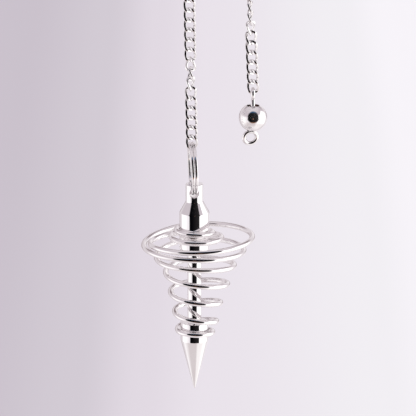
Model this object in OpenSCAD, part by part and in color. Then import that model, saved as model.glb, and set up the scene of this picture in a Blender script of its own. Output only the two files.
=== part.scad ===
// A dowsing pendulum on its chain. A turned head, a thin shaft and a sharp
// point carry a conical spiral of round wire. A two-coil split ring through
// the neck hangs the pendant on a fine curb chain, which runs up over its
// support and down again to a small ball on a pin with a ring below it.
// Millimetres, +Z up. The origin is the top of the support, where the chain
// hangs. Both legs hang in the XZ plane, and -Y is the front.

/* [Head] */
// Diameter of the neck
neck_d = 3.75; // [3.4:0.05:4.6]
// Height of the neck
neck_h = 3.9; // [3.6:0.1:5]
// Height of the sloping shoulder
shoulder_h = 2.4; // [1.8:0.1:4]
// Diameter of the head's cylinder
head_d = 6.4; // [5.6:0.1:7.4]
// Length of the head's cylinder
head_h = 8.2; // [6.5:0.1:10]
// Width of the bevel on the head's edges
head_bevel = 0.2; // [0.1:0.05:0.3]
// Diameter of the cross hole in the neck
hole_d = 2.1; // [2.1:0.02:2.3]
// Depth of the cross hole's axis below the top
hole_depth = 1.74; // [1.6:0.02:2.2]

/* [Shaft] */
// Diameter of the shaft
shaft_d = 3; // [2.2:0.1:3.6]
// Length of the shaft between the head and the point
shaft_h = 16.25; // [13:0.05:20]
// Depth of the shaft's seats in the head and the point
seat_depth = 2.4; // [1.5:0.1:3]
// Clearance round and below the shaft's ends
seat_gap = 0.03; // [0.02:0.01:0.08]

/* [Point] */
// Diameter of the point's collar
collar_d = 6; // [5.2:0.1:7]
// Length of the collar
collar_h = 4.1; // [3.4:0.1:6]
// Length of the cone below the collar
cone_h = 11; // [8:0.1:15]
// Diameter of the blunted tip
tip_d = 0.3; // [0.2:0.05:0.8]
// Width of the bevel on the collar's top edge
collar_bevel = 0.15; // [0.1:0.05:0.3]

/* [Spiral wire] */
// Thickness of the spiral's wire
coil_wire = 1.15; // [0.9:0.05:1.3]
// Centreline radius of the widest turn
coil_r = 12.45; // [10:0.05:15]
// Clearance between the wire and the metal it is wound on
coil_gap = 0.05; // [0.03:0.01:0.15]
// Height of the wire's upper end below the shoulder's lower edge
coil_start = 3.8; // [3:0.05:4.2]
// Height of the wire's lower end above the collar's lower edge
coil_end = 1.3; // [0.8:0.1:2]

/* [Split ring] */
// Thickness of the split ring's wire
ring_wire = 0.68; // [0.6:0.01:0.7]
// Centreline radius of the split ring
ring_r = 5.35; // [4.6:0.05:6.2]
// Gap between the split ring's two coils
ring_gap = 0.03; // [0.02:0.01:0.05]
// Angle that the split ring is turned about the vertical
ring_turn = 5; // [0:1:6]
// Angle that the split ring's top leans to the left
ring_lean = 2.3; // [0:0.1:2.5]
// Height of the ring's wire below the axis of the hole it hangs in
ring_drop = 0.18; // [0.16:0.01:0.25]
// Distance of the ring's lowest point to the left of the head's axis
ring_side = 0.1; // [0:0.01:0.12]

/* [Chain] */
// Outer length of a link
link_l = 3.2; // [3.1:0.01:3.4]
// Outer width of a link
link_w = 2.55; // [2.5:0.01:2.8]
// Thickness of a link's wire
link_wire = 0.45; // [0.38:0.01:0.46]
// Play between two hooked links
link_play = 0.16; // [0.14:0.01:0.24]
// Distance that a link's sides bow out of its plane
link_bow = 0.37; // [0.35:0.01:0.5]
// Length of the chain's leg above the pendant
pendant_leg = 78.2; // [50:0.1:110]
// Length of the chain's leg above the ball
ball_leg = 66; // [40:1:100]
// Lean of the leg above the pendant, in degrees
pendant_lean = 0.9; // [0:0.1:1.5]
// Lean of the leg above the ball, in degrees
ball_lean = 2.3; // [1:0.1:4]
// Diameter of the support that the chain hangs on
support_d = 10.4; // [9:0.1:16]
// Height that the split ring rides above the last link's end
ring_ride = 0.37; // [0.33:0.01:0.4]

/* [Ball and pin] */
// Diameter of the ball
ball_d = 6; // [5.4:0.1:7]
// Diameter of the hole through the ball
ball_hole_d = 2.7; // [2.2:0.05:2.9]
// Thickness of the pin's wire
pin_wire = 0.9; // [0.8:0.05:1]
// Thickness of the pin's shank through the ball
shank_d = 0.86; // [0.6:0.02:0.88]
// Centreline radius of the pin's eye above the ball
eye_r = 0.95; // [0.9:0.05:1.4]
// Centreline radius of the pin's ring below the ball
tail_r = 1.4; // [1.4:0.05:1.7]
// Distance of the lower ring's middle to the left of the ball's axis
tail_side = 0.5; // [0.3:0.05:0.6]
// Angle that the lower ring's foot leans to the back
tail_lean = 10; // [0:1:12]
// Angle that the lower ring is turned about the vertical
tail_turn = 15; // [0:1:20]
// Clearance between the lower ring and the ball that rests on it
tail_gap = 0.08; // [0.05:0.01:0.2]
// Clearance between the eye and the ball below it
eye_gap = 1.5; // [0.2:0.05:2]
// Height that the chain's last link rides above the eye's top
eye_ride = 0.11; // [0.08:0.01:0.2]

/* [Hidden] */

$fn = 96;
cut = 0.5;

// The spiral wire, a row for each change of its curve. turn counts from the
// left side of the pendant, by the front; out is the share of the way from
// the wire's seat to the widest turn; down is the share of its height.
// Columns:        turn    out    down
COIL_TABLE = [
                  [-0.25, 0.000, 0.000],
                  [ 0.00, 0.000, 0.004],
                  [ 0.25, 0.000, 0.012],
                  [ 0.50, 0.008, 0.036],
                  [ 1.00, 0.138, 0.064],
                  [ 1.25, 0.173, 0.073],
                  [ 1.50, 0.228, 0.084],
                  [ 1.75, 0.358, 0.113],
                  [ 1.875,0.515, 0.125],
                  [ 2.00, 0.651, 0.126],
                  [ 2.125,0.748, 0.104],
                  [ 2.25, 0.838, 0.094],
                  [ 2.50, 0.995, 0.074],
                  [ 2.75, 0.925, 0.097],
                  [ 2.875,0.834, 0.131],
                  [ 3.00, 0.815, 0.151],
                  [ 3.25, 0.800, 0.166],
                  [ 3.50, 0.785, 0.196],
                  [ 3.75, 0.672, 0.213],
                  [ 4.00, 0.507, 0.271],
                  [ 4.25, 0.512, 0.291],
                  [ 4.50, 0.548, 0.340],
                  [ 5.00, 0.280, 0.415],
                  [ 5.25, 0.326, 0.460],
                  [ 5.50, 0.390, 0.522],
                  [ 5.75, 0.264, 0.571],
                  [ 6.00, 0.164, 0.599],
                  [ 6.25, 0.188, 0.642],
                  [ 6.50, 0.222, 0.701],
                  [ 6.75, 0.131, 0.756],
                  [ 7.00, 0.066, 0.785],
                  [ 7.25, 0.094, 0.825],
                  [ 7.50, 0.126, 0.879],
                  [ 7.75, 0.037, 0.931],
                  [ 8.00, 0.001, 0.957],
                  [ 8.25, 0.004, 0.966],
                  [ 8.50, 0.030, 0.984],
                  [ 8.80, 0.000, 1.000],
];
coil_turns = COIL_TABLE[len(COIL_TABLE) - 1][0] - COIL_TABLE[0][0];
coil_steps_per_turn = 28;
coil_sides = 8;

// The twist of the chain about its own line, a row for each change. along is
// the share of the chain's length from the pendant's end; twist is in degrees.
// Columns:         along  twist
TWIST_TABLE = [
                   [0.000,  -6],
                   [0.060,   2],
                   [0.116, 172],
                   [0.197, 182],
                   [0.480, 262],
                   [0.905, 272],
                   [0.935, 338],
                   [0.960, 362],
                   [1.000, 368],
];
link_steps = 12;
link_sides = 5;
link_fullness = 2.3;

// The split ring: where its wire steps from one coil to the other, measured
// from the ring's lowest point towards the back, and how far its ends stop
// short of that place.
ring_step_at = 26;
ring_end_gap = 15;
ring_step_half = 10;
ring_steps = 56;
ring_sides = 10;

// The chain's path: up the pendant's leg, over the support, down the ball's leg
chain_t = 2 * link_bow + link_wire;
arch_r = (support_d + chain_t) / 2;
arch_z = -support_d / 2;
arch_span = 180 + pendant_lean - ball_lean;
arch_l = arch_r * arch_span * PI / 180;
pitch = link_l - 2 * link_wire - link_play;
links = round((pendant_leg + arch_l + ball_leg) / pitch) + 1;
chain_l = (links - 1) * pitch;
last_leg = chain_l - pendant_leg - arch_l;

// Places that hang from the chain's two ends
pendant_foot = chain_point(0);
ball_foot = chain_point(chain_l);
ring_top_z = pendant_foot[2] - link_l / 2 + link_wire + ring_wire / 2 + ring_ride;
ring_x = pendant_foot[0] + ring_r * sin(ring_lean);
ring_z = ring_top_z - ring_r * cos(ring_lean);
head_x = ring_x + ring_r * sin(ring_lean) + ring_side;
hole_z = ring_z - ring_r * cos(ring_lean) + ring_drop;
head_top_z = hole_z + hole_depth;

// Heights of the pendant's pieces, downwards from the top of the head
neck_end_z = head_top_z - neck_h;
shoulder_end_z = neck_end_z - shoulder_h;
head_end_z = shoulder_end_z - head_h;
collar_top_z = head_end_z - shaft_h;
collar_end_z = collar_top_z - collar_h;
coil_top_z = shoulder_end_z - coil_start;
coil_bottom_z = collar_end_z + coil_end;

// The ball and its pin hang from the last link's end
eye_top_z = ball_foot[2] - link_l / 2 + link_wire + pin_wire / 2 + eye_ride;
eye_z = eye_top_z - eye_r;
ball_x = ball_foot[0];
mouth_r = ball_hole_d / 2;
mouth_h = sqrt(pow(ball_d / 2, 2) - pow(mouth_r, 2));
eye_reach = eye_r + pin_wire / 2 + eye_gap;
tail_reach = tail_r + pin_wire / 2 + tail_gap;
ball_z = eye_z - sqrt(pow(eye_reach, 2) - pow(mouth_r, 2)) - mouth_h;
tail_drop = sqrt(pow(tail_r, 2) - pow(tail_side, 2));
pin_end_z = ball_z - mouth_h - sqrt(pow(tail_reach, 2) - pow(mouth_r - tail_side, 2)) + tail_drop;

silver = "silver";

// Direction of the chain's path at s, as the angle round the support
function chain_angle(s) =
    s < pendant_leg ? 180 + pendant_lean :
    s < pendant_leg + arch_l ? 180 + pendant_lean - (s - pendant_leg) / arch_r * 180 / PI :
    ball_lean;

// Length of straight leg between the point at s and the support
function leg_length(s) = max(0, pendant_leg - s, s - pendant_leg - arch_l);

function chain_point(s) =
    let (a = chain_angle(s), down = leg_length(s), side = s < pendant_leg ? -1 : 1)
    [arch_r * cos(a) + side * down * sin(a),
     0,
     arch_z + arch_r * sin(a) - side * down * cos(a)];

// One link at the origin: a full oval along z whose sides bow towards +y and -y
function full(v) = sign(v) * pow(abs(v), 2 / link_fullness);
function link_centre(t) =
    [(link_w - link_wire) / 2 * full(cos(t)),
     -link_bow * sin(2 * t),
     (link_l - link_wire) / 2 * full(sin(t))];

function unit(v) = v / norm(v);

// Ring of points round a centreline point p, for the direction d and the outward hint w
function tube_ring(p, d, w, r, sides) =
    let (side = unit(w - (w * d) * d), up = cross(d, side))
    [for (i = [0 : sides - 1])
        let (a = (i + 0.5) * 360 / sides)
        p + r * (cos(a) * side + sin(a) * up)];

LINK_POINTS = [
    for (k = [0 : link_steps - 1])
        let (t = k * 360 / link_steps,
             d = unit(link_centre(t + 1) - link_centre(t - 1)),
             w = [cos(t), 0, sin(t)])
        each tube_ring(link_centre(t), d, w, link_wire / 2, link_sides)
];

// A link's point in the frame that the chain has at s
function placed(v, s) =
    let (a = chain_angle(s),
         twist = lookup(s / chain_l, TWIST_TABLE),
         x = v[0] * cos(twist) - v[1] * sin(twist),
         y = v[0] * sin(twist) + v[1] * cos(twist))
    chain_point(s) + [-x * cos(a) + v[2] * sin(a), y, -x * sin(a) - v[2] * cos(a)];

// Two triangles for each face of a tube whose rings run from ring k to ring n
function band(k, n, sides, first = 0) = [
    for (i = [0 : sides - 1])
        let (j = (i + 1) % sides,
             a = first + k * sides + i,
             b = first + k * sides + j,
             c = first + n * sides + j,
             e = first + n * sides + i)
        each [[a, b, c], [a, c, e]]
];

// Faces of an open tube with flat ends
function tube_faces(rings, sides) = concat(
    [[for (i = [sides - 1 : -1 : 0]) i]],
    [for (k = [0 : rings - 2]) each band(k, k + 1, sides)],
    [[for (i = [0 : sides - 1]) (rings - 1) * sides + i]]
);

// Value of a table's column at x: a smooth curve through its rows
function slope(table, i, column) =
    let (a = max(i - 1, 0), b = min(i + 1, len(table) - 1))
    (table[b][column] - table[a][column]) / (table[b][0] - table[a][0]);

function row_before(table, x, i = 0) =
    i >= len(table) - 2 || table[i + 1][0] > x ? i : row_before(table, x, i + 1);

function smooth(table, x, column) =
    let (i = row_before(table, x),
         h = table[i + 1][0] - table[i][0],
         u = (x - table[i][0]) / h)
    (2 * u * u * u - 3 * u * u + 1) * table[i][column]
    + (u * u * u - 2 * u * u + u) * h * slope(table, i, column)
    + (3 * u * u - 2 * u * u * u) * table[i + 1][column]
    + (u * u * u - u * u) * h * slope(table, i + 1, column);

// The spiral's centreline. Its seat passes from the head to the collar.
function coil_seat(down) =
    coil_wire / 2 + coil_gap + (head_d * (1 - down) + collar_d * down) / 2;

function coil_centre(turn) =
    let (down = smooth(COIL_TABLE, turn, 2),
         seat = coil_seat(down),
         r = max(seat, seat + (coil_r - seat) * smooth(COIL_TABLE, turn, 1)))
    [head_x - r * cos(360 * turn),
     -r * sin(360 * turn),
     coil_top_z + (coil_bottom_z - coil_top_z) * down];

// The split ring's centreline: almost two turns in its own upright plane,
// with a short step from one coil to the other
function ring_shift(a) =
    let (u = min(1, max(-1, (a - 360) / ring_step_half)))
    (ring_wire + ring_gap) / 2 * sin(90 * u);

function ring_centre(a) =
    let (round = a - 90 + ring_step_at,
         out = ring_r * cos(round),
         up = ring_r * sin(round),
         shift = ring_shift(a),
         x = shift * cos(ring_turn) - out * sin(ring_turn))
    [ring_x + x * cos(ring_lean) - up * sin(ring_lean),
     shift * sin(ring_turn) + out * cos(ring_turn),
     ring_z + x * sin(ring_lean) + up * cos(ring_lean)];

// Turned head with a cross hole in its neck and a seat for the shaft
module head() {
    color(silver)
    difference() {
        translate([head_x, 0, head_end_z])
        rotate_extrude()
        polygon([
            [0, 0],
            [head_d / 2 - head_bevel, 0],
            [head_d / 2, head_bevel],
            [head_d / 2, head_h],
            [neck_d / 2, head_h + shoulder_h],
            [neck_d / 2, head_h + shoulder_h + neck_h - head_bevel],
            [neck_d / 2 - head_bevel, head_h + shoulder_h + neck_h],
            [0, head_h + shoulder_h + neck_h],
        ]);

        translate([head_x, neck_d / 2 + cut, hole_z])
        rotate([90, 0, 0])
        cylinder(d = hole_d, h = neck_d + 2 * cut);

        translate([head_x, 0, head_end_z - cut])
        cylinder(d = shaft_d + 2 * seat_gap, h = seat_depth + seat_gap + cut);
    }
}

// Plain round shaft, seated in the head and in the point
module shaft() {
    color(silver)
    translate([head_x, 0, collar_top_z - seat_depth])
    cylinder(d = shaft_d, h = shaft_h + 2 * seat_depth);
}

// Turned point: a collar and a long sharp cone
module point() {
    color(silver)
    difference() {
        translate([head_x, 0, collar_end_z - cone_h])
        rotate_extrude()
        polygon([
            [0, 0],
            [tip_d / 2, 0],
            [collar_d / 2, cone_h],
            [collar_d / 2, cone_h + collar_h - collar_bevel],
            [collar_d / 2 - collar_bevel, cone_h + collar_h],
            [0, cone_h + collar_h],
        ]);

        translate([head_x, 0, collar_top_z - seat_depth - seat_gap])
        cylinder(d = shaft_d + 2 * seat_gap, h = seat_depth + seat_gap + cut);
    }
}

// Round wire wound from the head out to the widest turn and in to the collar
module spiral_wire() {
    rings = round(coil_turns * coil_steps_per_turn) + 1;
    nudge = 0.002;
    points = [
        for (k = [0 : rings - 1])
            let (turn = COIL_TABLE[0][0] + coil_turns * k / (rings - 1),
                 p = coil_centre(turn),
                 d = unit(coil_centre(turn + nudge) - coil_centre(turn - nudge)),
                 w = [p[0] - head_x, p[1], 0])
            each tube_ring(p, d, w, coil_wire / 2, coil_sides)
    ];
    color(silver)
    polyhedron(points, tube_faces(rings, coil_sides));
}

// Two-coil split ring through the neck and the chain's last link
module split_ring() {
    first = ring_end_gap;
    last = 720 - ring_end_gap;
    points = [
        for (k = [0 : ring_steps - 1])
            let (a = first + (last - first) * k / (ring_steps - 1),
                 p = ring_centre(a),
                 d = unit(ring_centre(a + 1) - ring_centre(a - 1)),
                 w = p - [ring_x, 0, ring_z])
            each tube_ring(p, d, w, ring_wire / 2, ring_sides)
    ];
    color(silver)
    polyhedron(points, tube_faces(ring_steps, ring_sides));
}

// Curb chain: every link passes through the next one
module chain() {
    points = [
        for (n = [0 : links - 1])
            for (v = LINK_POINTS)
                placed(v, n * pitch)
    ];
    faces = [
        for (n = [0 : links - 1])
            for (k = [0 : link_steps - 1])
                each band(k, (k + 1) % link_steps, link_sides, n * len(LINK_POINTS))
    ];
    color(silver)
    polyhedron(points, faces);
}

// Small drilled ball at the chain's free end
module ball() {
    color(silver)
    translate([ball_x, 0, ball_z])
    difference() {
        sphere(d = ball_d);
        cylinder(d = ball_hole_d, h = ball_d + 2 * cut, center = true);
    }
}

// Pin through the ball with an eye above it and a ring below it
module ball_pin() {
    color(silver)
    union() {
        translate([ball_x, 0, eye_z])
        rotate([0, 90, 0])
        wire_ring(eye_r);

        translate([ball_x, 0, pin_end_z])
        cylinder(d = shank_d, h = eye_z - eye_r - pin_end_z);

        translate([ball_x, 0, pin_end_z])
        rotate([tail_lean, 0, tail_turn])
        translate([-tail_side, 0, -tail_drop])
        rotate([90, 0, 0])
        wire_ring(tail_r);
    }
}

module wire_ring(r) {
    rotate_extrude()
    translate([r, 0])
    circle(d = pin_wire, $fn = 32);
}

head();
shaft();
point();
spiral_wire();
split_ring();
chain();
ball();
ball_pin();
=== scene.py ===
import math

import bmesh
import bpy
from mathutils import Matrix, Vector


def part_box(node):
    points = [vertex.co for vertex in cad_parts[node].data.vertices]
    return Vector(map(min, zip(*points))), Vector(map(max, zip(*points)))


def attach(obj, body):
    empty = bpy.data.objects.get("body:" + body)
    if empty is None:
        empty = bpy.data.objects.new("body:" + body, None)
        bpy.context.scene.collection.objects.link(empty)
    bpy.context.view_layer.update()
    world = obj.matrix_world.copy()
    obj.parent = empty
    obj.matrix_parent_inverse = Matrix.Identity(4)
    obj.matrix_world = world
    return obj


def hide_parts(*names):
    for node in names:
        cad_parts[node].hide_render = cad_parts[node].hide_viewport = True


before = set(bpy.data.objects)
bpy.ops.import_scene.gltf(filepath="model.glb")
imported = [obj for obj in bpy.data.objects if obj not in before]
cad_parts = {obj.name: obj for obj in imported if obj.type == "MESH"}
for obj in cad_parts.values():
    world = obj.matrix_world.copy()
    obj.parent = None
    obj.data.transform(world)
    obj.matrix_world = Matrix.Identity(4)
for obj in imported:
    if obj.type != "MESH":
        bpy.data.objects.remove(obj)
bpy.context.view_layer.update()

# A silver-plated dowsing pendulum on its chain, hung in a bright studio. Each
# CAD node is replaced by a smooth piece of the same form, in metres.
MM = 0.001


# Places of the CAD pieces

head_low, head_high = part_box("head")
shaft_low, shaft_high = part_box("shaft")
point_low, point_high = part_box("point")
ball_low, ball_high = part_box("ball")
axis_x = (head_low.x + head_high.x) / 2
ball_x = (ball_low.x + ball_high.x) / 2


# Mesh tools

def finish_piece(name, mesh, body, nodes, material):
    """Links a smooth mesh that rides on a body and stands for CAD nodes."""
    mesh.name = name
    mesh.shade_smooth()
    piece = bpy.data.objects.new(name, mesh)
    bpy.context.scene.collection.objects.link(piece)
    mesh.materials.append(material)
    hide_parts(*nodes)
    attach(piece, body)


def mesh_from(verts, faces):
    """Blender mesh of a list of verts and one of faces."""
    mesh = bpy.data.meshes.new("mesh")
    mesh.from_pydata([tuple(v) for v in verts], [], faces)
    mesh.validate()
    return mesh


def rounded(corners, steps=6, support=0.05 * MM):
    """Outline through corners (r, z, bend): each bend is a round edge of that radius.

    Straight stretches get a point close to both ends, which keeps their shading flat.
    """
    outline = []
    for i, (r, z, bend) in enumerate(corners):
        here = Vector((r, z))
        if bend == 0:
            outline.append([here])
            continue
        back = (Vector(corners[i - 1][:2]) - here).normalized()
        on = (Vector(corners[i + 1][:2]) - here).normalized()
        half = back.angle(on) / 2
        reach = bend / math.tan(half)
        centre = here + (back + on).normalized() * bend / math.sin(half)
        start = here + back * reach - centre
        end = here + on * reach - centre
        sweep = start.angle(end)
        outline.append([
            centre + (start * math.sin((1 - k / steps) * sweep) + end * math.sin(k / steps * sweep))
            / math.sin(sweep)
            for k in range(steps + 1)
        ])
    points = []
    for i, arc in enumerate(outline):
        points += arc
        if i + 1 < len(outline):
            a, b = arc[-1], outline[i + 1][0]
            if (b - a).length > 4 * support:
                step = (b - a).normalized() * support
                points += [a + step, b - step]
    return points


def lathe(outline, segments=160, on_axis=1e-9):
    """Closed mesh of an outline (r, z) turned about the z axis."""
    bm = bmesh.new()
    rings = []
    for r, z in outline:
        if r < on_axis:
            rings.append([bm.verts.new((0, 0, z))])
        else:
            rings.append([
                bm.verts.new((r * math.cos(a), r * math.sin(a), z))
                for a in (2 * math.pi * k / segments for k in range(segments))
            ])
    for low, high in zip(rings, rings[1:]):
        for k in range(segments):
            n = (k + 1) % segments
            corners = [low[k % len(low)], low[n % len(low)], high[n % len(high)], high[k % len(high)]]
            unique = list(dict.fromkeys(corners))
            if len(unique) > 2:
                bm.faces.new(unique)
    bmesh.ops.recalc_face_normals(bm, faces=bm.faces)
    return bm


def moved_mesh(bm, place):
    """Blender mesh of a bmesh that is moved to its place and freed."""
    bmesh.ops.translate(bm, verts=bm.verts, vec=place)
    mesh = bpy.data.meshes.new("mesh")
    bm.to_mesh(mesh)
    bm.free()
    return mesh


def rounded_share(v, square):
    """A sine or cosine turned into that of a fuller, squarer round."""
    return math.copysign(abs(v) ** (2 / square), v)


def tube(points, hints, radius, sides, closed=False, wide=1.0, deep=1.0, square=2.0):
    """Verts and faces of a tube along points; a hint at each points away from the bend.

    wide and deep stretch its section along and across the hint, and square above 2 flattens it.
    An open tube ends in two sawn faces with a softened edge.
    """
    count = len(points)
    section = [
        (wide * rounded_share(math.cos(a), square), deep * rounded_share(math.sin(a), square))
        for a in (2 * math.pi * i / sides for i in range(sides))
    ]
    verts = []
    faces = []
    for k, (p, hint) in enumerate(zip(points, hints)):
        before = points[k - 1] if closed or k > 0 else p
        after = points[(k + 1) % count] if closed or k + 1 < count else p
        along = (after - before).normalized()
        side = (hint - hint.dot(along) * along).normalized()
        up = along.cross(side)
        verts += [p + radius * (a * side + b * up) for a, b in section]
    for k in range(count if closed else count - 1):
        n = (k + 1) % count
        for i in range(sides):
            j = (i + 1) % sides
            faces.append((k * sides + i, k * sides + j, n * sides + j, n * sides + i))
    if not closed:
        rim_share, rim_out, tip_out = 0.8, 0.2 * radius, 0.22 * radius
        for end, way in ((0, -1), (count - 1, 1)):
            p = points[end]
            other = points[1] if end == 0 else points[end - 1]
            out = (p - other).normalized()
            inner = len(verts)
            edge = verts[end * sides:(end + 1) * sides]
            verts += [p + (v - p) * rim_share + out * rim_out for v in edge]
            tip = len(verts)
            verts.append(p + out * tip_out)
            for i in range(sides):
                j = (i + 1) % sides
                rim = (end * sides + i, end * sides + j, inner + j, inner + i)
                cap = (inner + i, inner + j, tip)
                faces += [rim[::way], cap[::way]]
    return verts, faces


def joined(parts):
    """One list of verts and faces from several."""
    verts = []
    faces = []
    for part_verts, part_faces in parts:
        first = len(verts)
        verts += part_verts
        faces += [tuple(first + i for i in face) for face in part_faces]
    return verts, faces


def drilled(mesh, drill):
    """The mesh with the drill's mesh cut out of it and the new edges softened."""
    mesh.shade_smooth()
    cutter = bpy.data.objects.new("drill", drill)
    blank = bpy.data.objects.new("blank", mesh)
    for thing in (cutter, blank):
        bpy.context.scene.collection.objects.link(thing)
    cut = blank.modifiers.new("cut", "BOOLEAN")
    cut.object = cutter
    cut.solver = "EXACT"
    edge = blank.modifiers.new("edge", "BEVEL")
    edge.width = 0.08 * MM
    edge.segments = 3
    edge.limit_method = "ANGLE"
    edge.angle_limit = math.radians(35)
    edge.harden_normals = True
    bpy.context.view_layer.update()
    graph = bpy.context.evaluated_depsgraph_get()
    made = bpy.data.meshes.new_from_object(blank.evaluated_get(graph))
    for thing in (cutter, blank):
        bpy.data.objects.remove(thing)
    return made


# Materials

def add_node(tree, kind, **sockets):
    """Node of a kind with its sockets set; an underscore in a name stands for a space."""
    node = tree.nodes.new(kind)
    for name, value in sockets.items():
        node.inputs[name.replace("_", " ")].default_value = value
    return node


def silver(name, light, dark, rough, grain, stretch, bump):
    """Bright silver plate: faint tone patches, a rub of fine marks and a soft bump.

    rough is the lowest and highest roughness, grain the marks' scale in marks a metre,
    and stretch the share of it along x, y and z.
    """
    material = bpy.data.materials.new(name)
    material.use_nodes = True
    tree = material.node_tree
    shader = tree.nodes["Principled BSDF"]
    shader.inputs["Metallic"].default_value = 1.0
    place = tree.nodes.new("ShaderNodeTexCoord")
    patches = add_node(tree, "ShaderNodeTexNoise", Scale=260.0, Detail=3.0, Roughness=0.55)
    tone = tree.nodes.new("ShaderNodeMix")
    tone.data_type = "RGBA"
    tone.inputs["A"].default_value = (*dark, 1)
    tone.inputs["B"].default_value = (*light, 1)
    tree.links.new(place.outputs["Object"], patches.inputs["Vector"])
    spread = tree.nodes.new("ShaderNodeMapRange")
    spread.inputs["From Min"].default_value = 0.3
    spread.inputs["From Max"].default_value = 0.6
    tree.links.new(patches.outputs["Fac"], spread.inputs["Value"])
    tree.links.new(spread.outputs["Result"], tone.inputs["Factor"])
    tree.links.new(tone.outputs["Result"], shader.inputs["Base Color"])

    scaled = tree.nodes.new("ShaderNodeMapping")
    scaled.inputs["Scale"].default_value = tuple(grain * s for s in stretch)
    tree.links.new(place.outputs["Object"], scaled.inputs["Vector"])
    marks = add_node(tree, "ShaderNodeTexNoise", Scale=1.0, Detail=4.0, Roughness=0.6)
    tree.links.new(scaled.outputs["Vector"], marks.inputs["Vector"])
    rub = tree.nodes.new("ShaderNodeMapRange")
    rub.inputs["From Min"].default_value = 0.35
    rub.inputs["From Max"].default_value = 0.7
    rub.inputs["To Min"].default_value, rub.inputs["To Max"].default_value = rough
    tree.links.new(marks.outputs["Fac"], rub.inputs["Value"])
    tree.links.new(rub.outputs["Result"], shader.inputs["Roughness"])
    relief = tree.nodes.new("ShaderNodeBump")
    relief.inputs["Strength"].default_value = bump
    relief.inputs["Distance"].default_value = 0.02 * MM
    tree.links.new(marks.outputs["Fac"], relief.inputs["Height"])
    tree.links.new(relief.outputs["Normal"], shader.inputs["Normal"])
    return material


turned_silver = silver(
    "turned_silver", light=(0.96, 0.95, 0.95), dark=(0.92, 0.90, 0.90), rough=(0.02, 0.06),
    grain=9000, stretch=(0.05, 0.05, 1), bump=0.02,
)
wire_silver = silver(
    "wire_silver", light=(0.96, 0.94, 0.94), dark=(0.91, 0.89, 0.90), rough=(0.015, 0.04),
    grain=2500, stretch=(1, 1, 1), bump=0.02,
)
chain_silver = silver(
    "chain_silver", light=(0.96, 0.95, 0.95), dark=(0.89, 0.87, 0.87), rough=(0.015, 0.04),
    grain=3500, stretch=(1, 1, 1), bump=0.02,
)
ball_silver = silver(
    "ball_silver", light=(0.95, 0.93, 0.93), dark=(0.90, 0.87, 0.88), rough=(0.10, 0.15),
    grain=1500, stretch=(1, 1, 1), bump=0.03,
)
# Dark brown painted shade for the wall just inside the mouth of the ball's bore, where the hollow
# lies in shade
bore_painted_shade = silver(
    "bore_painted_shade", light=(0.16, 0.07, 0.04), dark=(0.05, 0.02, 0.015), rough=(0.35, 0.5),
    grain=3000, stretch=(1, 1, 1), bump=0.1,
)


# Turned head

neck_r = 1.875 * MM
shoulder_h = 2.4 * MM
head_r, head_h = 3.2 * MM, 8.2 * MM
hole_r, hole_depth = 1.05 * MM, 1.74 * MM
shaft_r = 1.5 * MM
seat_r, seat_depth = 1.53 * MM, 2.43 * MM
edge_r = 0.2 * MM
soft_r = 0.35 * MM
seat_floor_bend, seat_mouth_bend = 0.05 * MM, 0.08 * MM

bottom = head_low.z
top = head_high.z
bm = lathe(rounded([
    (0, bottom + seat_depth, 0),
    (seat_r, bottom + seat_depth, seat_floor_bend),
    (seat_r, bottom, seat_mouth_bend),
    (head_r, bottom, edge_r),
    (head_r, bottom + head_h, soft_r),
    (neck_r, bottom + head_h + shoulder_h, soft_r),
    (neck_r, top, edge_r),
    (0, top, 0),
]))
head_mesh = moved_mesh(bm, (axis_x, 0, 0))
hole_z = top - hole_depth
drill_outline = [(0, -head_r), (hole_r, -head_r), (hole_r, head_r), (0, head_r)]
drill = moved_mesh(lathe(drill_outline, segments=96), (0, 0, 0))
drill.transform(Matrix.Translation((axis_x, 0, hole_z)) @ Matrix.Rotation(math.pi / 2, 4, "X"))
finish_piece(
    "head_turned", drilled(head_mesh, drill), "pendant", ["head"], turned_silver
)


# Shaft and point

rod_bend = 0.1 * MM
bm = lathe(rounded([
    (0, shaft_low.z, 0),
    (shaft_r, shaft_low.z, rod_bend),
    (shaft_r, shaft_high.z, rod_bend),
    (0, shaft_high.z, 0),
]))
shaft_mesh = moved_mesh(bm, (axis_x, 0, 0))
finish_piece("shaft_rod", shaft_mesh, "pendant", ["shaft"], turned_silver)

collar_r, collar_h = 3.0 * MM, 4.1 * MM
collar_low_bend, collar_top_bend = 0.25 * MM, 0.15 * MM
tip_r, tip_bend = 0.15 * MM, 0.1 * MM
collar_low = point_high.z - collar_h
bm = lathe(rounded([
    (0, point_low.z, 0),
    (tip_r, point_low.z, tip_bend),
    (collar_r, collar_low, collar_low_bend),
    (collar_r, point_high.z, collar_top_bend),
    (seat_r, point_high.z, seat_floor_bend),
    (seat_r, point_high.z - seat_depth, seat_floor_bend),
    (0, point_high.z - seat_depth, 0),
]))
point_mesh = moved_mesh(bm, (axis_x, 0, 0))
finish_piece("point_turned", point_mesh, "pendant", ["point"], turned_silver)


# Spiral wire, along the same curve as the CAD. The table's columns are the turn, the share
# of the wire's reach out from its seat, and the share of the way down.

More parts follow.
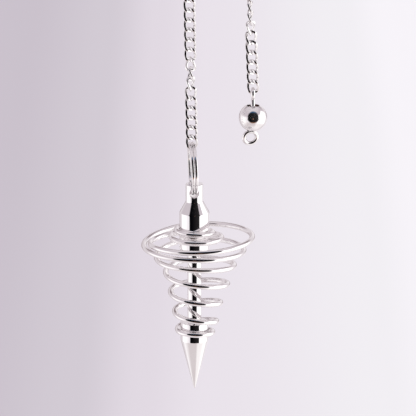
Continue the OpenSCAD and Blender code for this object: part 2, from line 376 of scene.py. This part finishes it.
OUT, DOWN = 1, 2
COIL_TABLE = [
    (-0.25, 0.000, 0.000),
    (0.00, 0.000, 0.004),
    (0.25, 0.000, 0.012),
    (0.50, 0.008, 0.036),
    (1.00, 0.138, 0.064),
    (1.25, 0.173, 0.073),
    (1.50, 0.228, 0.084),
    (1.75, 0.358, 0.113),
    (1.875, 0.515, 0.125),
    (2.00, 0.651, 0.126),
    (2.125, 0.748, 0.104),
    (2.25, 0.838, 0.094),
    (2.50, 0.995, 0.074),
    (2.75, 0.925, 0.097),
    (2.875, 0.834, 0.131),
    (3.00, 0.815, 0.151),
    (3.25, 0.800, 0.166),
    (3.50, 0.785, 0.196),
    (3.75, 0.672, 0.213),
    (4.00, 0.507, 0.271),
    (4.25, 0.512, 0.291),
    (4.50, 0.548, 0.340),
    (5.00, 0.280, 0.415),
    (5.25, 0.326, 0.460),
    (5.50, 0.390, 0.522),
    (5.75, 0.264, 0.571),
    (6.00, 0.164, 0.599),
    (6.25, 0.188, 0.642),
    (6.50, 0.222, 0.701),
    (6.75, 0.131, 0.756),
    (7.00, 0.066, 0.785),
    (7.25, 0.094, 0.825),
    (7.50, 0.126, 0.879),
    (7.75, 0.037, 0.931),
    (8.00, 0.001, 0.957),
    (8.25, 0.004, 0.966),
    (8.50, 0.030, 0.984),
    (8.80, 0.000, 1.000),
]
coil_wire_r = 0.575 * MM
coil_r = 12.45 * MM
coil_gap = 0.05 * MM
coil_start = 3.8 * MM
coil_end = 1.3 * MM
coil_top = bottom + head_h - coil_start
coil_bottom = collar_low + coil_end


def smooth_column(table, x, column):
    """A smooth curve through a table's rows, read at x."""
    i = max(k for k in range(len(table) - 1) if k == 0 or table[k][0] <= x)

    def slope(k):
        a = table[max(k - 1, 0)]
        b = table[min(k + 1, len(table) - 1)]
        return (b[column] - a[column]) / (b[0] - a[0])

    h = table[i + 1][0] - table[i][0]
    u = (x - table[i][0]) / h
    return (
        (2 * u ** 3 - 3 * u ** 2 + 1) * table[i][column]
        + (u ** 3 - 2 * u ** 2 + u) * h * slope(i)
        + (3 * u ** 2 - 2 * u ** 3) * table[i + 1][column]
        + (u ** 3 - u ** 2) * h * slope(i + 1)
    )


def coil_point(turn):
    """Middle of the wire at a turn; it never runs closer to the axis than its seat."""
    down = smooth_column(COIL_TABLE, turn, DOWN)
    seat = coil_wire_r + coil_gap + head_r * (1 - down) + collar_r * down
    r = max(seat, seat + (coil_r - seat) * smooth_column(COIL_TABLE, turn, OUT))
    a = 2 * math.pi * turn
    return Vector((
        axis_x - r * math.cos(a),
        -r * math.sin(a),
        coil_top + (coil_bottom - coil_top) * down,
    ))


steps_a_turn = 72
first_turn, last_turn = COIL_TABLE[0][0], COIL_TABLE[-1][0]
turns = last_turn - first_turn
coil_steps = round(turns * steps_a_turn)
coil_points = [coil_point(first_turn + turns * k / coil_steps) for k in range(coil_steps + 1)]
coil_hints = [Vector((p.x - axis_x, p.y, 0)) for p in coil_points]
coil_mesh = mesh_from(*tube(coil_points, coil_hints, coil_wire_r, sides=20))
finish_piece("spiral_wire_round", coil_mesh, "pendant", ["spiral_wire"], wire_silver)


# Chain, along the same path as the CAD. The table's columns are the share of the chain's
# length, from the pendant's end, and its twist in degrees.

TWIST_TABLE = [
    (0.000, -6),
    (0.060, 2),
    (0.116, 172),
    (0.197, 182),
    (0.480, 262),
    (0.905, 272),
    (0.935, 338),
    (0.960, 362),
    (1.000, 368),
]
link_l, link_w = 3.2 * MM, 2.55 * MM
link_wire_r = 0.225 * MM
link_play = 0.16 * MM
link_bow = 0.37 * MM
link_fullness = 2.3
# The wire's section: wider in the link's plane than across it, with flattened faces
link_wide, link_deep, link_square = 1.25, 0.95, 4
pendant_leg, ball_leg = 78.2 * MM, 66 * MM
pendant_lean, ball_lean = math.radians(0.9), math.radians(2.3)
support_r = 5.2 * MM
arch_r = support_r + link_bow + link_wire_r
arch_l = arch_r * (math.pi + pendant_lean - ball_lean)
pitch = link_l - 4 * link_wire_r - link_play
links = round((pendant_leg + arch_l + ball_leg) / pitch) + 1
chain_l = (links - 1) * pitch


def chain_angle(s):
    """Angle round the support at a length s from the pendant's end of the chain."""
    if s < pendant_leg:
        return math.pi + pendant_lean
    if s < pendant_leg + arch_l:
        return math.pi + pendant_lean - (s - pendant_leg) / arch_r
    return ball_lean


def chain_point(s):
    """Place of the chain's middle line at the length s."""
    a = chain_angle(s)
    down = max(0, pendant_leg - s, s - pendant_leg - arch_l)
    side = -1 if s < pendant_leg else 1
    return Vector((
        arch_r * math.cos(a) + side * down * math.sin(a),
        0,
        -support_r + arch_r * math.sin(a) - side * down * math.cos(a),
    ))


def lookup(table, x):
    """The second column of a table at x in the first, on straight lines."""
    for (x0, y0), (x1, y1) in zip(table, table[1:]):
        if x <= x1:
            return y0 + (y1 - y0) * (x - x0) / (x1 - x0)
    return table[-1][1]


def link_tube(steps=40, sides=16):
    """One curb link about the origin, bowed so that it lies flat with its neighbours."""
    points = []
    for k in range(steps):
        t = 2 * math.pi * k / steps
        points.append(Vector((
            (link_w / 2 - link_wire_r) * rounded_share(math.cos(t), link_fullness),
            -link_bow * math.sin(2 * t),
            (link_l / 2 - link_wire_r) * rounded_share(math.sin(t), link_fullness),
        )))
    hints = [Vector((p.x, 0, p.z)) for p in points]
    return tube(
        points, hints, link_wire_r, sides, closed=True,
        wide=link_wide, deep=link_deep, square=link_square,
    )


link_verts, link_faces = link_tube()
chain_parts = []
for n in range(links):
    s = n * pitch
    a = chain_angle(s)
    along = Vector((math.sin(a), 0, -math.cos(a)))
    across = Vector((-math.cos(a), 0, -math.sin(a)))
    turn = Matrix.Rotation(math.radians(lookup(TWIST_TABLE, s / chain_l)), 3, "Z")
    frame_of_link = Matrix((across, Vector((0, 1, 0)), along)).transposed()
    middle = chain_point(s)
    chain_parts.append(([middle + frame_of_link @ (turn @ v) for v in link_verts], link_faces))
chain_mesh = mesh_from(*joined(chain_parts))
finish_piece("chain_links", chain_mesh, "hanger", ["chain"], chain_silver)


# Split ring

ring_wire_r = 0.34 * MM
ring_r = 5.35 * MM
ring_gap = 0.03 * MM
ring_ride = 0.37 * MM
ring_square = 2.7
ring_turn = math.radians(5)
ring_lean = math.radians(2.3)
# Degrees round the ring: where its wire steps from one coil to the other, what each end
# falls short of a full turn, and half the step's length
ring_step_at, ring_end_gap, ring_step_half = 26, 15, 10
ring_x = chain_point(0).x + ring_r * math.sin(ring_lean)
ring_z = (
    chain_point(0).z - link_l / 2 + 2 * link_wire_r + ring_wire_r + ring_ride
    - ring_r * math.cos(ring_lean)
)


def ring_point(degrees):
    """Middle of the ring's wire on its way round twice."""
    u = min(1, max(-1, (degrees - 360) / ring_step_half))
    shift = (2 * ring_wire_r + ring_gap) / 2 * math.sin(math.pi / 2 * u)
    a = math.radians(degrees - 90 + ring_step_at)
    out, up = ring_r * math.cos(a), ring_r * math.sin(a)
    x = shift * math.cos(ring_turn) - out * math.sin(ring_turn)
    return Vector((
        ring_x + x * math.cos(ring_lean) - up * math.sin(ring_lean),
        shift * math.sin(ring_turn) + out * math.cos(ring_turn),
        ring_z + x * math.sin(ring_lean) + up * math.cos(ring_lean),
    ))


ring_steps = 180
ring_sweep = 2 * 360 - 2 * ring_end_gap
ring_points = [ring_point(ring_end_gap + ring_sweep * k / ring_steps) for k in range(ring_steps + 1)]
ring_middle = Vector((ring_x, 0, ring_z))
ring_hints = [p - ring_middle for p in ring_points]
ring_mesh = mesh_from(*tube(ring_points, ring_hints, ring_wire_r, sides=24, square=ring_square))
finish_piece("split_ring_coils", ring_mesh, "hanger", ["split_ring"], wire_silver)


# Ball, with a rolled lip at both ends of its bore and painted shade in the top one

ball_r = 3 * MM
mouth_r = 1.35 * MM
ball_z = (ball_low.z + ball_high.z) / 2
mouth_h = math.sqrt(ball_r ** 2 - mouth_r ** 2)
bore_h = 0.97 * mouth_h
lip_angle = 1.02 * math.asin(mouth_r / ball_r)
# Where the painted shade on the bore's wall starts, a little below its top mouth
shade_paint_low = mouth_h - 0.5 * MM
ball_steps = 64
ball_outline = [Vector((mouth_r, -bore_h))]
for k in range(ball_steps + 1):
    a = lip_angle + (math.pi - 2 * lip_angle) * k / ball_steps
    ball_outline.append(Vector((ball_r * math.sin(a), -ball_r * math.cos(a))))
ball_outline += [Vector((mouth_r, h)) for h in (bore_h, shade_paint_low, -bore_h)]
bm = lathe(ball_outline)
bmesh.ops.remove_doubles(bm, verts=bm.verts, dist=1e-7)
ball_mesh = moved_mesh(bm, (ball_x, 0, ball_z))
finish_piece("ball_drilled", ball_mesh, "hanger", ["ball"], ball_silver)
ball_mesh.materials.append(bore_painted_shade)
# Painted shade: the bore's wall faces near its top mouth, in one quarter round, take the dark brown
# second material
for face in ball_mesh.polygons:
    x, y, z = face.center - Vector((ball_x, 0, ball_z))
    if x > 0 and y > 0 and z > shade_paint_low and math.hypot(x, y) < mouth_r:
        face.material_index = 1


# Ball pin: an eye above the ball, a shank through it and a ring below

pin_wire_r = 0.45 * MM
eye_r = 0.95 * MM
tail_r = 1.4 * MM
shank_r = 0.43 * MM
eye_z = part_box("ball_pin")[1].z - pin_wire_r - eye_r
tail_side = 0.5 * MM
tail_gap = 0.08 * MM
tail_turn, tail_lean = math.radians(15), math.radians(10)
tail_drop = math.sqrt(tail_r ** 2 - tail_side ** 2)
tail_reach = tail_r + pin_wire_r + tail_gap
pin_end = ball_z - mouth_h - math.sqrt(tail_reach ** 2 - (mouth_r - tail_side) ** 2) + tail_drop
tail_tip = Matrix.Rotation(tail_turn, 3, "Z") @ Matrix.Rotation(tail_lean, 3, "X")


def wire_ring(radius, middle, across, up, steps=72, sides=20):
    """Closed ring of the pin's wire in the plane of two directions."""
    points = [
        middle + radius * (math.cos(a) * across + math.sin(a) * up)
        for a in (2 * math.pi * k / steps for k in range(steps))
    ]
    return tube(points, [p - middle for p in points], pin_wire_r, sides, closed=True)


eye = wire_ring(eye_r, Vector((ball_x, 0, eye_z)), Vector((0, 1, 0)), Vector((0, 0, 1)))
pin_foot = Vector((ball_x, 0, pin_end))
tail_middle = pin_foot + tail_tip @ Vector((-tail_side, 0, -tail_drop))
tail = wire_ring(tail_r, tail_middle, tail_tip @ Vector((1, 0, 0)), tail_tip @ Vector((0, 0, 1)))
shank_top = Vector((ball_x, 0, eye_z - eye_r))
shank = tube([pin_foot, shank_top], [Vector((1, 0, 0))] * 2, shank_r, sides=20)
pin_mesh = mesh_from(*joined([eye, shank, tail]))
finish_piece("ball_pin_wire", pin_mesh, "hanger", ["ball_pin"], wire_silver)


# Studio: a pale floor with painted light that grows paler to the right, a bright room with a dark
# place round the camera

PHOTO_PIXELS = 416
PIXELS_PER_MM = 4.67
photo_width = PHOTO_PIXELS / PIXELS_PER_MM * MM
camera_tilt = math.radians(15.75)
camera_far = 1.0
to_camera = Vector((0, -math.cos(camera_tilt), math.sin(camera_tilt)))
# The photo's middle, from the top of the head's axis
aim_side, aim_drop = 2.91 * MM, 5.41 * MM
aim = Vector((axis_x + aim_side, 0, top - aim_drop))

camera = bpy.data.objects.new("camera", bpy.data.cameras.new("camera"))
bpy.context.scene.collection.objects.link(camera)
bpy.context.scene.camera = camera
camera.location = aim + to_camera * camera_far
camera.rotation_mode = "QUATERNION"
camera.rotation_quaternion = (-to_camera).to_track_quat("-Z", "Y")
camera.data.sensor_width = 36
camera.data.lens = camera.data.sensor_width * camera_far / photo_width
camera.data.clip_start = 0.05
camera.data.clip_end = 60

floor_half = 12.0
floor_drop = 1.1
floor_mesh = mesh_from(
    [(x * floor_half, y * floor_half, -floor_drop) for x, y in ((-1, -1), (1, -1), (1, 1), (-1, 1))],
    [(0, 1, 2, 3)],
)
floor = bpy.data.objects.new("floor", floor_mesh)
bpy.context.scene.collection.objects.link(floor)
floor.visible_glossy = False

# Painted light: the floor pales from left to right over the width in view, as if it were lit more
# strongly from the right
floor_stretch = (camera.location.z + floor_drop) / math.sin(camera_tilt) / camera_far
floor_width = photo_width * floor_stretch
# Columns: share of that width, and colour, which carries the painted light
FLOOR_PAINTED_LIGHT = [
    (0.00, (0.600, 0.550, 0.605)),
    (0.22, (0.655, 0.610, 0.660)),
    (0.36, (0.765, 0.712, 0.765)),
    (0.50, (0.830, 0.785, 0.830)),
    (0.88, (0.895, 0.880, 0.900)),
    (1.00, (0.945, 0.925, 0.950)),
]
paper = bpy.data.materials.new("floor_paper")
paper.use_nodes = True
paper_tree = paper.node_tree
paper_shader = paper_tree.nodes["Principled BSDF"]
paper_shader.inputs["Roughness"].default_value = 1.0
paper_shader.inputs["Specular IOR Level"].default_value = 0.0
paper_place = paper_tree.nodes.new("ShaderNodeTexCoord")
paper_across = paper_tree.nodes.new("ShaderNodeSeparateXYZ")
paper_share = paper_tree.nodes.new("ShaderNodeMapRange")
paper_share.inputs["From Min"].default_value = aim.x - floor_width / 2
paper_share.inputs["From Max"].default_value = aim.x + floor_width / 2
# Painted light: a ramp along x that makes the floor's colour paler to the right
paper_painted_light = paper_tree.nodes.new("ShaderNodeValToRGB")
paper_painted_light.color_ramp.interpolation = "EASE"
for place, tone in FLOOR_PAINTED_LIGHT[1:-1]:
    paper_painted_light.color_ramp.elements.new(place)
for element, (place, tone) in zip(paper_painted_light.color_ramp.elements, FLOOR_PAINTED_LIGHT):
    element.position = place
    element.color = (*tone, 1)
paper_tree.links.new(paper_place.outputs["Object"], paper_across.inputs["Vector"])
paper_tree.links.new(paper_across.outputs["X"], paper_share.inputs["Value"])
paper_tree.links.new(paper_share.outputs["Result"], paper_painted_light.inputs["Fac"])
paper_tree.links.new(paper_painted_light.outputs["Color"], paper_shader.inputs["Base Color"])
floor_mesh.materials.append(paper)


# What the silver mirrors: a tone above 1 is a lit soft box
ROOM_TONES = {
    "low_wall": (0.70, 0.64, 0.65),
    "high_wall": (0.62, 0.56, 0.60),
    "ceiling": (0.72, 0.67, 0.70),
    "ground": (0.92, 0.88, 0.89),
    "back_ground": (0.84, 0.79, 0.82),
    "back_left": (0.60, 0.55, 0.58),
    "left_wall": (0.95, 0.91, 0.94),
    "left_box": (1.15, 1.12, 1.13),
    "right_sill": (0.99, 0.95, 0.95),
    "right_box": (1.5, 1.5, 1.5),
    "right_wing": (1.4, 1.38, 1.38),
    "behind": (0.76, 0.71, 0.74),
    "dusk": (0.26, 0.21, 0.22),
    "far_right": (0.92, 0.88, 0.90),
    "far_left": (0.60, 0.54, 0.56),
    "far_low": (0.40, 0.34, 0.36),
    "dark_left": (0.002, 0.002, 0.003),
    "dark_right": (0.020, 0.018, 0.019),
    "hand": (0.20, 0.11, 0.08),
    "navy": (0.035, 0.10, 0.20),
    "brown": (0.40, 0.19, 0.09),
    "studio_air": (0.99, 0.98, 1.0),
}


def room_light():
    """Even studio light, and the room that the silver mirrors.

    The room has soft boxes at both sides and a dark place round the camera. Angles are in
    degrees. Facing is 1 towards the camera and -1 away from it.
    """
    world = bpy.data.worlds.new("studio")
    bpy.context.scene.world = world
    world.use_nodes = True
    tree = world.node_tree
    tree.nodes.clear()

    def link(value, socket):
        if isinstance(value, bpy.types.NodeSocket):
            tree.links.new(value, socket)
        elif isinstance(value, tuple):
            socket.default_value = (*value, 1)
        else:
            socket.default_value = value

    def math_node(operation, a, b=0.0):
        node = tree.nodes.new("ShaderNodeMath")
        node.operation = operation
        link(a, node.inputs[0])
        link(b, node.inputs[1])
        return node.outputs[0]

    def ramp(value, low, high, start=0.0, end=1.0):
        """From start at low to end at high, on a smooth step."""
        node = tree.nodes.new("ShaderNodeMapRange")
        node.interpolation_type = "SMOOTHSTEP"
        link(value, node.inputs["Value"])
        link(low, node.inputs["From Min"])
        link(high, node.inputs["From Max"])
        link(start, node.inputs["To Min"])
        link(end, node.inputs["To Max"])
        return node.outputs["Result"]

    def painted(under, share, tone):
        """The colour under a tone, with the tone laid over a share of it.

        The tone is a name in the table above, or a colour made by other nodes.
        """
        colour = ROOM_TONES[tone] if isinstance(tone, str) else tone
        node = tree.nodes.new("ShaderNodeMix")
        node.data_type = "RGBA"
        link(share, node.inputs["Factor"])
        link(under, node.inputs["A"])
        link(colour, node.inputs["B"])
        return node.outputs["Result"]

    direction = tree.nodes.new("ShaderNodeTexCoord").outputs["Generated"]

    def along(axis):
        """How far the direction looked in runs along an axis."""
        node = tree.nodes.new("ShaderNodeVectorMath")
        node.operation = "DOT_PRODUCT"
        tree.links.new(direction, node.inputs[0])
        node.inputs[1].default_value = axis
        return node.outputs["Value"]

    def degrees(value):
        return math_node("MULTIPLY", value, 180 / math.pi)

    def both(a, b):
        """1 where both shares are 1."""
        return math_node("MULTIPLY", a, b)

    def window(value, low, high, soft):
        """1 between low and high, with soft edges."""
        rise = ramp(value, low - soft, low + soft)
        return both(rise, ramp(value, high - soft, high + soft, 1.0, 0.0))

    def patch(around, high):
        """A window of azimuth and elevation: low edge, high edge and softness of each."""
        return both(window(azimuth, *around), window(elevation, *high))

    def oval(a, a_reach, b, b_reach, power):
        """Under 1 inside a rounded box of two angles."""
        return math_node(
            "ADD",
            math_node("POWER", math_node("ABSOLUTE", math_node("DIVIDE", a, a_reach)), power),
            math_node("POWER", math_node("ABSOLUTE", math_node("DIVIDE", b, b_reach)), power),
        )

    right = along((1, 0, 0))
    near = along((0, -1, 0))
    azimuth = degrees(math_node("ARCTAN2", right, near))
    elevation = degrees(math_node("ARCSINE", along((0, 0, 1))))
    facing = along(to_camera)
    above = along((0, math.sin(camera_tilt), math.cos(camera_tilt)))
    across_angle = degrees(math_node("ARCTAN2", right, facing))
    above_angle = degrees(math_node("ARCTAN2", above, facing))

    # Walls in a lilac grey, with a paler floor and a paler ceiling straight above
    room = painted(ROOM_TONES["low_wall"], ramp(elevation, -35, 15), "high_wall")
    room = painted(room, ramp(elevation, 42, 66), "ceiling")
    room = painted(room, ramp(elevation, -50, -75), "ground")
    room = painted(room, both(ramp(facing, 0.1, -0.4), ramp(elevation, 0, -25)), "back_ground")
    room = painted(room, both(ramp(facing, -0.4, -0.8), ramp(right, -0.1, -0.4)), "back_left")
    room = painted(room, patch(around=(-75, -30, 8), high=(-28, 10, 6)), "left_wall")
    room = painted(room, patch(around=(25, 150, 12), high=(-80, -25, 8)), "right_sill")

    # The right soft box is the larger. Its top edge climbs half a degree for each degree
    # round to azimuth 95, and above the horizon its far end leans in.
    right_top = math_node("ADD", math_node("MULTIPLY", math_node("MINIMUM", azimuth, 95), 0.5), -8)
    under_top = ramp(math_node("SUBTRACT", elevation, right_top), -4, 4, 1.0, 0.0)
    right_end = math_node("SUBTRACT", 140, math_node("MAXIMUM", elevation, 0.0))
    before_end = ramp(math_node("SUBTRACT", azimuth, right_end), -10, 10, 1.0, 0.0)
    right_side = both(ramp(azimuth, 34, 46), before_end)
    right_height = both(under_top, ramp(elevation, -44, -26))
    room = painted(room, both(right_side, right_height), "right_box")
    room = painted(room, patch(around=(40, 68, 6), high=(-20, 27, 5)), "right_wing")
    room = painted(room, patch(around=(-116, -62, 12), high=(-38, 8, 9)), "left_box")

    # Behind the pendulum: a dusky band high up, which draws a thin grey line on top of the
    # wires, and the patches straight behind, which a wire mirrors where it runs to or from
    # the camera
    room = painted(room, ramp(facing, -0.3, -0.8), "behind")
    dusk = both(ramp(facing, -0.25, -0.6), window(elevation, 28, 62, 5))
    room = painted(room, dusk, "dusk")
    far = ramp(facing, -0.75, -0.9)
    room = painted(room, both(far, ramp(right, 0.02, 0.14)), "far_right")
    room = painted(room, both(far, ramp(right, -0.04, -0.16)), "far_left")
    room = painted(room, both(far, window(elevation, -14, -3, 3)), "far_low")

    # The dark place round the camera, navy above and brown below, with a hand in it. It
    # reaches 45 degrees to each side above and 52 below.
    dark = painted(ROOM_TONES["dark_left"], ramp(across_angle, -30, 45), "dark_right")
    hand_across = math_node("ADD", across_angle, -2)
    hand_above = math_node("ADD", above_angle, 15)
    hand_oval = oval(hand_across, 6, hand_above, 7, power=2)
    dark = painted(dark, ramp(hand_oval, 0.5, 1.2, 1.0, 0.0), "hand")
    dark = painted(dark, ramp(above_angle, 33, 43), "navy")
    dark = painted(dark, ramp(above_angle, -41, -48), "brown")
    opening_half = ramp(above_angle, -5, -30, 45, 52)
    opening_across = math_node("ADD", across_angle, -0.8)
    opening_oval = oval(opening_across, opening_half, above_angle, 50, power=2.9)
    opening = both(ramp(opening_oval, 0.8, 1.2, 1.0, 0.0), ramp(facing, 0.1, 0.2))
    room = painted(room, opening, dark)

    # Only reflections see the room: all other light is even
    light_path = tree.nodes.new("ShaderNodeLightPath")
    colour = painted(ROOM_TONES["studio_air"], light_path.outputs["Is Glossy Ray"], room)
    background = tree.nodes.new("ShaderNodeBackground")
    tree.links.new(colour, background.inputs["Color"])
    output = tree.nodes.new("ShaderNodeOutputWorld")
    tree.links.new(background.outputs["Background"], output.inputs["Surface"])


room_light()
bpy.context.scene.view_settings.view_transform = "Standard"
